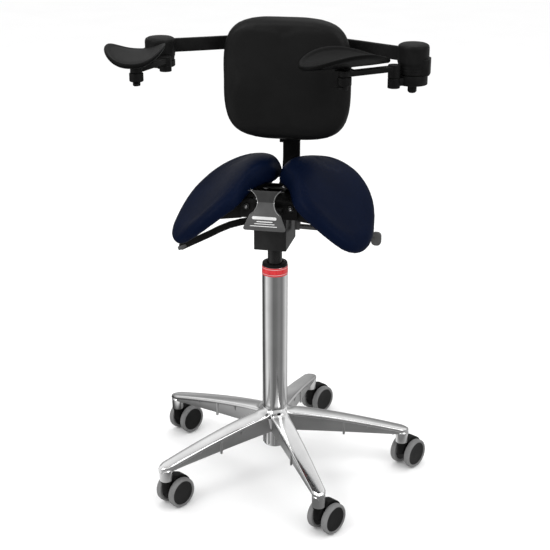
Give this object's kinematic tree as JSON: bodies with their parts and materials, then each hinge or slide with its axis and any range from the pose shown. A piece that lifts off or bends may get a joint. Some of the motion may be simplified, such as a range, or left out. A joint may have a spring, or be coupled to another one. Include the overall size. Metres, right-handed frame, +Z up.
{
  "type": "dentist stool",
  "caption": "Height-adjustable dentist stool: split saddle seat, small backrest and jointed elbow rests on a polished star base with twin-wheel casters.",
  "frame": {"origin": "centre of the flat underside of the base's middle foot, 60 mm above the floor", "axes": "+Z up along the column, the sitter faces -Y, +X to the side of the tilt lever"},
  "size_m": [0.6011, 0.5554, 0.905],
  "materials": {
    "polished_aluminium": "polished, streaky reflections",
    "steel": "machined",
    "black_metal": "black powder coat",
    "grey_metal": "dark grey, satin",
    "black_plastic": "fine grain",
    "tyre": "grey, smooth",
    "navy_leather": "soft sheen",
    "black_leather": "soft sheen",
    "rubber": "matt"
  },
  "bodies": {
    "base": {"base_star": "polished_aluminium", "column_tube": "polished_aluminium", "column_collar": "black_plastic", "thrust_bearing": "steel"},
    "rod": {"piston_rod": "steel"},
    "carrier": {"gas_cylinder": "black_metal", "column_socket": "black_metal", "tilt_pin": "steel"},
    "lift_lever": {"lift_lever": "black_metal"},
    "valve_pin": {"valve_pin": "steel"},
    "frame": {"tilt_frame": "black_metal", "front_plate": "grey_metal", "swing_pin_right": "steel", "swing_pin_left": "steel", "back_post": "black_metal"},
    "tilt_lever": {"tilt_lever": "black_metal"},
    "seat_right": {"seat_pan_right": "black_metal", "seat_cushion_right": "navy_leather"},
    "seat_left": {"seat_pan_left": "black_metal", "seat_cushion_left": "navy_leather"},
    "width_screw": {"width_screw": "steel"},
    "back_carriage": {"back_carriage": "black_metal", "arm_bar": "black_metal", "elbow_housing_right": "black_plastic", "elbow_housing_left": "black_plastic"},
    "back_knob": {"back_knob": "rubber"},
    "backrest": {"back_plate": "black_plastic", "back_cushion": "black_leather"},
    "elbow_link_right": {"elbow_link_right": "black_plastic"},
    "elbow_knob_right": {"elbow_knob_right": "black_plastic"},
    "forearm_right": {"forearm_right": "black_metal"},
    "pad_swivel_right": {"pad_bracket_right": "black_metal"},
    "pad_right": {"arm_pad_right": "black_leather"},
    "pad_knob_right": {"pad_knob_right": "black_plastic"},
    "elbow_link_left": {"elbow_link_left": "black_plastic"},
    "elbow_knob_left": {"elbow_knob_left": "black_plastic"},
    "forearm_left": {"forearm_left": "black_metal"},
    "pad_swivel_left": {"pad_bracket_left": "black_metal"},
    "pad_left": {"arm_pad_left": "black_leather"},
    "pad_knob_left": {"pad_knob_left": "black_plastic"},
    "caster_1": {"caster_1_housing": "black_plastic", "caster_1_axle": "steel"},
    "caster_2": {"caster_2_housing": "black_plastic", "caster_2_axle": "steel"},
    "caster_3": {"caster_3_housing": "black_plastic", "caster_3_axle": "steel"},
    "caster_4": {"caster_4_housing": "black_plastic", "caster_4_axle": "steel"},
    "caster_5": {"caster_5_housing": "black_plastic", "caster_5_axle": "steel"},
    "caster_1_wheel_left": {"caster_1_wheel_left": "tyre"},
    "caster_1_wheel_right": {"caster_1_wheel_right": "tyre"},
    "caster_2_wheel_left": {"caster_2_wheel_left": "tyre"},
    "caster_2_wheel_right": {"caster_2_wheel_right": "tyre"},
    "caster_3_wheel_left": {"caster_3_wheel_left": "tyre"},
    "caster_3_wheel_right": {"caster_3_wheel_right": "tyre"},
    "caster_4_wheel_left": {"caster_4_wheel_left": "tyre"},
    "caster_4_wheel_right": {"caster_4_wheel_right": "tyre"},
    "caster_5_wheel_left": {"caster_5_wheel_left": "tyre"},
    "caster_5_wheel_right": {"caster_5_wheel_right": "tyre"}
  },
  "joints": [
    {"name": "seat_swivel", "type": "hinge", "parent": "base", "child": "rod", "pos_m": [0, 0, 0.01], "axis": [0, 0, 1], "continuous": true},
    {"name": "seat_height", "type": "slide", "parent": "rod", "child": "carrier", "axis": [0, 0, 1], "range_m": [0, 0.2]},
    {"name": "lift_lever_pull", "type": "hinge", "parent": "carrier", "child": "lift_lever", "pos_m": [-0.022, -0.008, 0.48], "axis": [0, 1, 0], "range_deg": [0, 3]},
    {"name": "valve_press", "type": "slide", "parent": "carrier", "child": "valve_pin", "axis": [0, 0, 1], "range_m": [-0.0012, 0]},
    {"name": "seat_tilt", "type": "hinge", "parent": "carrier", "child": "frame", "pos_m": [0, 0.022, 0.494], "axis": [1, 0, 0], "range_deg": [-4, 3]},
    {"name": "tilt_lever_pull", "type": "hinge", "parent": "frame", "child": "tilt_lever", "pos_m": [0.041, 0.015, 0.492], "axis": [0, -1, 0], "range_deg": [0, 5]},
    {"name": "seat_right_swing", "type": "hinge", "parent": "frame", "child": "seat_right", "pos_m": [0.042, 0, 0.519], "axis": [0, 1, 0], "range_deg": [0, 3]},
    {"name": "seat_left_swing", "type": "hinge", "parent": "frame", "child": "seat_left", "pos_m": [-0.042, 0, 0.519], "axis": [0, 1, 0], "range_deg": [-3, 0]},
    {"name": "width_screw_turn", "type": "hinge", "parent": "frame", "child": "width_screw", "pos_m": [0, 0.05, 0.526], "axis": [1, 0, 0], "range_deg": [0, 540]},
    {"name": "back_height", "type": "slide", "parent": "frame", "child": "back_carriage", "axis": [0, 0, 1], "range_m": [0, 0.08]},
    {"name": "back_knob_turn", "type": "hinge", "parent": "back_carriage", "child": "back_knob", "pos_m": [0, 0.181, 0.63], "axis": [0, 1, 0], "range_deg": [0, 180]},
    {"name": "backrest_tilt", "type": "hinge", "parent": "back_carriage", "child": "backrest", "pos_m": [0, 0.14, 0.73], "axis": [1, 0, 0], "range_deg": [-5, 5]},
    {"name": "elbow_right", "type": "hinge", "parent": "back_carriage", "child": "elbow_link_right", "pos_m": [0.243, 0.08, 0.75], "axis": [0, 0, 1], "range_deg": [-15, 60]},
    {"name": "elbow_knob_right_turn", "type": "hinge", "parent": "elbow_link_right", "child": "elbow_knob_right", "pos_m": [0.243, 0.08, 0.73], "axis": [0, 0, 1], "range_deg": [0, 180]},
    {"name": "wrist_right", "type": "hinge", "parent": "elbow_link_right", "child": "forearm_right", "pos_m": [0.21179, 0.0519, 0.76], "axis": [0, 0, 1], "range_deg": [-10, 70]},
    {"name": "pad_swivel_right", "type": "hinge", "parent": "forearm_right", "child": "pad_swivel_right", "pos_m": [0.13153, -0.02037, 0.765], "axis": [0, 0, 1], "range_deg": [-35, 35]},
    {"name": "pad_tilt_right", "type": "hinge", "parent": "pad_swivel_right", "child": "pad_right", "pos_m": [0.13153, -0.02037, 0.7751], "axis": [-0.682, 0.7314, 0], "range_deg": [-8, 4]},
    {"name": "pad_knob_right_turn", "type": "hinge", "parent": "pad_swivel_right", "child": "pad_knob_right", "pos_m": [0.13153, -0.02037, 0.74], "axis": [0, 0, 1], "range_deg": [-40, 40]},
    {"name": "elbow_left", "type": "hinge", "parent": "back_carriage", "child": "elbow_link_left", "pos_m": [-0.243, 0.08, 0.75], "axis": [0, 0, 1], "range_deg": [-42, 30]},
    {"name": "elbow_knob_left_turn", "type": "hinge", "parent": "elbow_link_left", "child": "elbow_knob_left", "pos_m": [-0.243, 0.08, 0.73], "axis": [0, 0, 1], "range_deg": [0, 180]},
    {"name": "wrist_left", "type": "hinge", "parent": "elbow_link_left", "child": "forearm_left", "pos_m": [-0.222, 0.04363, 0.76], "axis": [0, 0, 1], "range_deg": [-28, 38]},
    {"name": "pad_swivel_left", "type": "hinge", "parent": "forearm_left", "child": "pad_swivel_left", "pos_m": [-0.24445, -0.06201, 0.765], "axis": [0, 0, 1], "range_deg": [-35, 35]},
    {"name": "pad_tilt_left", "type": "hinge", "parent": "pad_swivel_left", "child": "pad_left", "pos_m": [-0.24445, -0.06201, 0.7751], "axis": [-0.9744, -0.225, 0], "range_deg": [-8, 4]},
    {"name": "pad_knob_left_turn", "type": "hinge", "parent": "pad_swivel_left", "child": "pad_knob_left", "pos_m": [-0.24445, -0.06201, 0.74], "axis": [0, 0, 1], "range_deg": [-40, 40]},
    {"name": "caster_1_swivel", "type": "hinge", "parent": "base", "child": "caster_1", "pos_m": [0.25394, 0.05583, 0.01], "axis": [0, 0, 1], "continuous": true},
    {"name": "caster_2_swivel", "type": "hinge", "parent": "base", "child": "caster_2", "pos_m": [0.02537, 0.25876, 0.01], "axis": [0, 0, 1], "continuous": true},
    {"name": "caster_3_swivel", "type": "hinge", "parent": "base", "child": "caster_3", "pos_m": [-0.23825, 0.10409, 0.01], "axis": [0, 0, 1], "continuous": true},
    {"name": "caster_4_swivel", "type": "hinge", "parent": "base", "child": "caster_4", "pos_m": [-0.17262, -0.19443, 0.01], "axis": [0, 0, 1], "continuous": true},
    {"name": "caster_5_swivel", "type": "hinge", "parent": "base", "child": "caster_5", "pos_m": [0.13157, -0.22425, 0.01], "axis": [0, 0, 1], "continuous": true},
    {"name": "caster_1_wheel_left_spin", "type": "hinge", "parent": "caster_1", "child": "caster_1_wheel_left", "pos_m": [0.26585, 0.07551, -0.03], "axis": [-0.8554, 0.518, 0], "continuous": true},
    {"name": "caster_1_wheel_right_spin", "type": "hinge", "parent": "caster_1", "child": "caster_1_wheel_right", "pos_m": [0.26585, 0.07551, -0.03], "axis": [-0.8554, 0.518, 0], "continuous": true},
    {"name": "caster_2_wheel_left_spin", "type": "hinge", "parent": "caster_2", "child": "caster_2_wheel_left", "pos_m": [0.03729, 0.27843, -0.03], "axis": [-0.8554, 0.518, 0], "continuous": true},
    {"name": "caster_2_wheel_right_spin", "type": "hinge", "parent": "caster_2", "child": "caster_2_wheel_right", "pos_m": [0.03729, 0.27843, -0.03], "axis": [-0.8554, 0.518, 0], "continuous": true},
    {"name": "caster_3_wheel_left_spin", "type": "hinge", "parent": "caster_3", "child": "caster_3_wheel_left", "pos_m": [-0.22634, 0.12376, -0.03], "axis": [-0.8554, 0.518, 0], "continuous": true},
    {"name": "caster_3_wheel_right_spin", "type": "hinge", "parent": "caster_3", "child": "caster_3_wheel_right", "pos_m": [-0.22634, 0.12376, -0.03], "axis": [-0.8554, 0.518, 0], "continuous": true},
    {"name": "caster_4_wheel_left_spin", "type": "hinge", "parent": "caster_4", "child": "caster_4_wheel_left", "pos_m": [-0.16071, -0.17475, -0.03], "axis": [-0.8554, 0.518, 0], "continuous": true},
    {"name": "caster_4_wheel_right_spin", "type": "hinge", "parent": "caster_4", "child": "caster_4_wheel_right", "pos_m": [-0.16071, -0.17475, -0.03], "axis": [-0.8554, 0.518, 0], "continuous": true},
    {"name": "caster_5_wheel_left_spin", "type": "hinge", "parent": "caster_5", "child": "caster_5_wheel_left", "pos_m": [0.14348, -0.20458, -0.03], "axis": [-0.8554, 0.518, 0], "continuous": true},
    {"name": "caster_5_wheel_right_spin", "type": "hinge", "parent": "caster_5", "child": "caster_5_wheel_right", "pos_m": [0.14348, -0.20458, -0.03], "axis": [-0.8554, 0.518, 0], "continuous": true}
  ],
  "couplings": [
    {"joint": "valve_press", "follows": "lift_lever_pull", "m_per_rad": -0.0219},
    {"joint": "seat_left_swing", "follows": "seat_right_swing", "ratio": -1},
    {"joint": "width_screw_turn", "follows": "seat_right_swing", "ratio": 180}
  ]
}
